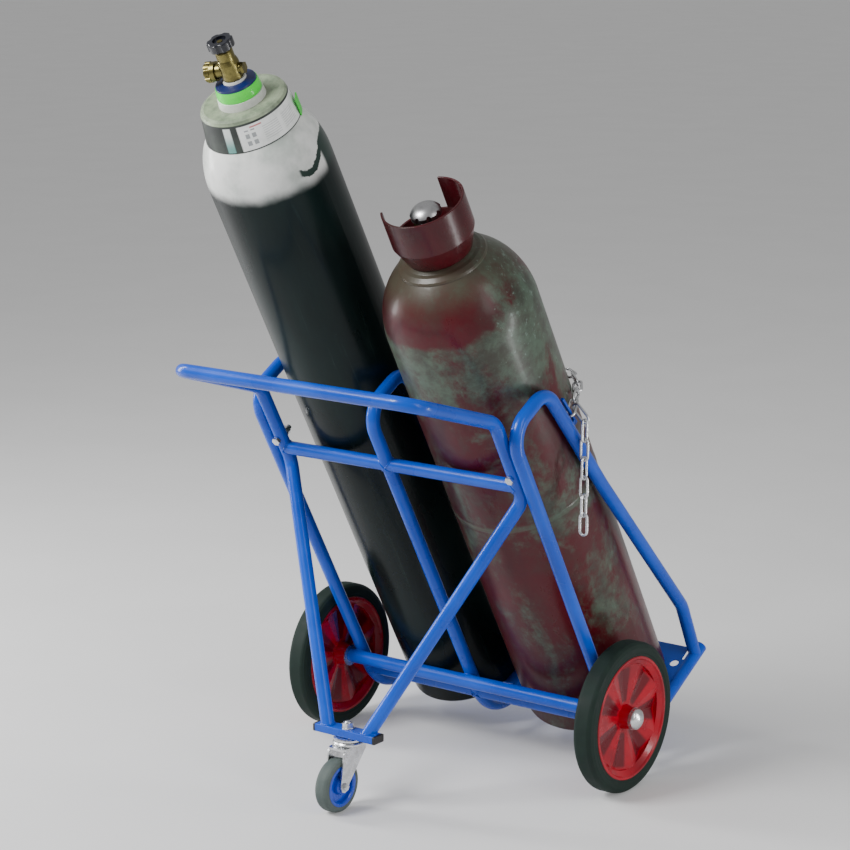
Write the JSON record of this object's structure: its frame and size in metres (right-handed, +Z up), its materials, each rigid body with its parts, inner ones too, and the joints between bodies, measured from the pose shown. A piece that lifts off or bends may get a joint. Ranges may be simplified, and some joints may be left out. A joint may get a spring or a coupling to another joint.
{
  "type": "oxy acetylene torch cart",
  "caption": "Two-wheeled tubular steel cart leaned back on a rear castor, holding a tall oxygen cylinder and a shorter acetylene cylinder behind a chain.",
  "frame": {"origin": "middle of the footprint's bounding box, on the floor", "axes": "+Z up, +Y forwards to the cylinders' side and footplate, +X to the right seen from the handle"},
  "size_m": [0.751, 0.9318, 1.4138],
  "materials": {
    "frame_blue": "glossy bright blue powder coat",
    "zinc": "bright zinc plate",
    "black_plastic": "satin black",
    "tyre": "matt dark grey-green rubber",
    "wheel_red": "glossy red moulding",
    "castor_tread": "matt grey rubber",
    "castor_blue": "satin blue moulding",
    "oxygen_paint": "glossy black paint with a white shoulder",
    "collar": "grey-green paint with a pale label",
    "ring_white": "white",
    "ring_green": "lime green",
    "ring_blue": "dark blue",
    "brass": "turned brass",
    "handwheel": "near-black moulding",
    "tag_green": "green",
    "acetylene_paint": "worn maroon paint with greenish-grey scuffs",
    "guard_paint": "maroon paint",
    "steel": "plain steel"
  },
  "bodies": {
    "frame": {"hoop_left": "frame_blue", "hoop_centre": "frame_blue", "hoop_right": "frame_blue", "axle_beam": "frame_blue", "rest_tube": "frame_blue", "crossbar": "frame_blue", "handle": "frame_blue", "support_leg_left": "frame_blue", "support_leg_right": "frame_blue", "castor_bar": "frame_blue", "footplate": "frame_blue", "chain_hook": "frame_blue", "chain_eye": "frame_blue", "castor_bar_caps": "black_plastic", "frame_bolts": "zinc", "frame_nuts": "zinc", "axle": "steel", "axle_bushes": "zinc", "hub_washers": "zinc", "axle_caps": "zinc", "castor_race": "zinc", "king_bolt": "zinc", "king_nut": "zinc", "chain_wrap": "zinc"},
    "wheel_left": {"wheel_left_tyre": "tyre", "wheel_left_centre": "wheel_red"},
    "wheel_right": {"wheel_right_tyre": "tyre", "wheel_right_centre": "wheel_red"},
    "castor": {"castor_fork": "zinc", "castor_axle": "zinc"},
    "castor_roller": {"castor_tyre": "castor_tread", "castor_wheel": "castor_blue"},
    "oxygen": {"oxygen_cylinder": "oxygen_paint", "oxygen_collar": "collar", "neck_ring_white": "ring_white", "neck_ring_green": "ring_green", "neck_ring_blue": "ring_blue", "neck_washer_white": "ring_white", "oxygen_valve": "brass", "outlet_plug": "brass", "collar_tag": "tag_green"},
    "oxygen_wheel": {"oxygen_handwheel": "handwheel"},
    "acetylene": {"acetylene_cylinder": "acetylene_paint", "shoulder_ring": "acetylene_paint", "valve_guard": "guard_paint", "acetylene_valve": "brass"},
    "acetylene_wheel": {"acetylene_knob": "steel"},
    "loose_chain": {"chain_tail": "zinc"}
  },
  "joints": [
    {"name": "left_wheel_spin", "type": "hinge", "parent": "frame", "child": "wheel_left", "pos_m": [-0.3345, 0.1057, 0.143], "axis": [1, 0, 0], "continuous": true},
    {"name": "right_wheel_spin", "type": "hinge", "parent": "frame", "child": "wheel_right", "pos_m": [0.3345, 0.1057, 0.143], "axis": [1, 0, 0], "continuous": true},
    {"name": "castor_swivel", "type": "hinge", "parent": "frame", "child": "castor", "pos_m": [-0.024, -0.2653, 0.12], "axis": [0, 0, 1], "continuous": true},
    {"name": "castor_wheel_spin", "type": "hinge", "parent": "castor", "child": "castor_roller", "pos_m": [-0.024, -0.3003, 0.05], "axis": [1, 0, 0], "continuous": true},
    {"name": "oxygen_cylinder_lift", "type": "slide", "parent": "frame", "child": "oxygen", "axis": [0, -0.4955, 0.8686], "range_m": [0, 0.9]},
    {"name": "oxygen_handwheel_turn", "type": "hinge", "parent": "oxygen", "child": "oxygen_wheel", "pos_m": [-0.1585, -0.43653, 1.3994], "axis": [0, -0.4955, 0.8686], "range_deg": [0, 720]},
    {"name": "acetylene_cylinder_lift", "type": "slide", "parent": "frame", "child": "acetylene", "axis": [0, -0.4955, 0.8686], "range_m": [0, 0.9]},
    {"name": "acetylene_knob_turn", "type": "hinge", "parent": "acetylene", "child": "acetylene_wheel", "pos_m": [0.1354, -0.2444, 1.11181], "axis": [0, -0.4955, 0.8686], "range_deg": [0, 540]},
    {"name": "loose_chain_swing", "type": "hinge", "parent": "frame", "child": "loose_chain", "pos_m": [0.31322, -0.00541, 0.71901], "axis": [1, 0, 0], "range_deg": [-30, 30]}
  ]
}
